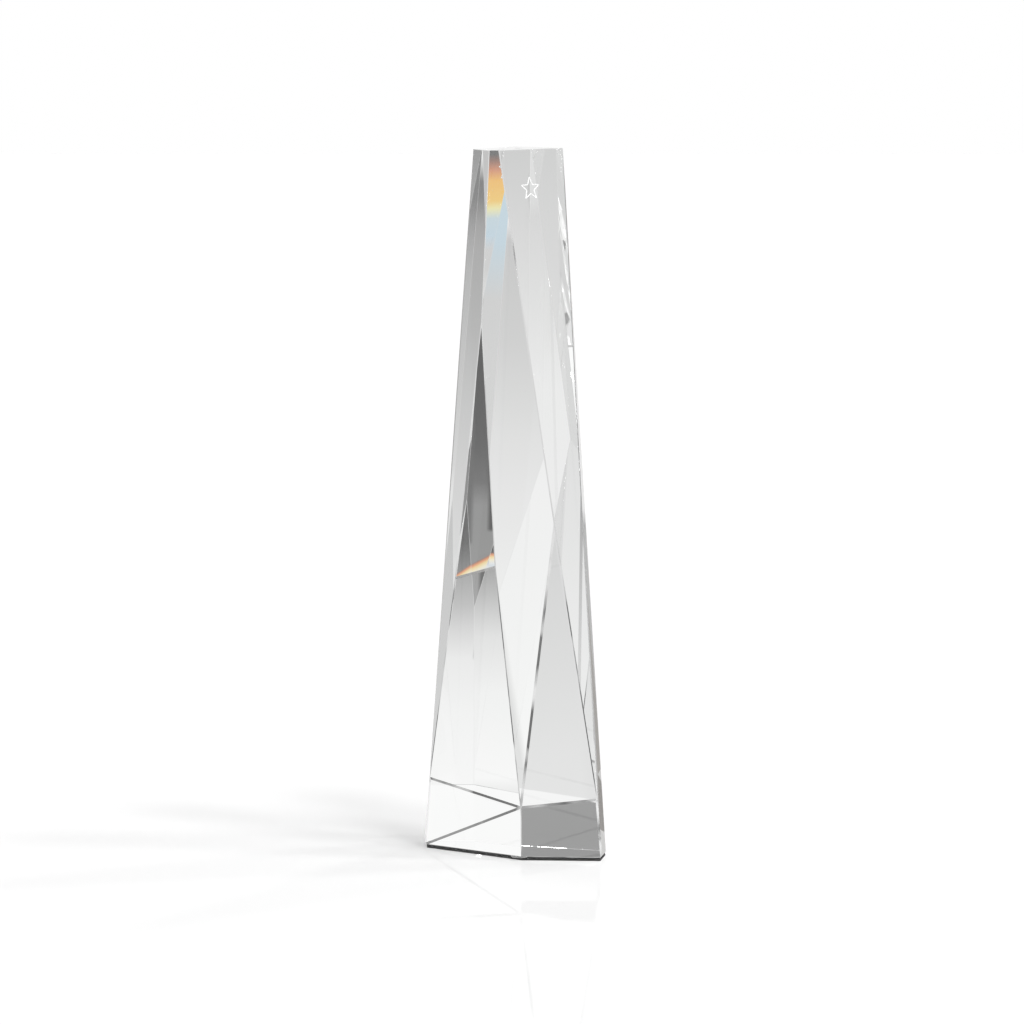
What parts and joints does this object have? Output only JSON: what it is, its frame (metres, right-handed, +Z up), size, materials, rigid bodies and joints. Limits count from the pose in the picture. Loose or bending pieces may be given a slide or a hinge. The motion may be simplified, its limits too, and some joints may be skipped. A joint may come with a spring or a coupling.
{
  "type": "crystal award",
  "caption": "Tall faceted tower of clear optical crystal, tapering to a small flat top, with a small etched star, on clear bumper pads.",
  "frame": {"origin": "on the ground, under the middle of the tower's outline", "axes": "+Z up along the tower, -Y to the front, where the kite facet faces, +X to the viewer's right"},
  "size_m": [0.0779, 0.0614, 0.3015],
  "materials": {
    "optical_crystal": "ground and polished optical crystal",
    "clear_bumper": "clear, slightly frosted polyurethane"
  },
  "bodies": {
    "root": {"crystal_tower": "optical_crystal", "bumper_pad_left": "clear_bumper", "bumper_pad_front": "clear_bumper", "bumper_pad_right": "clear_bumper", "bumper_pad_back": "clear_bumper"}
  },
  "joints": []
}
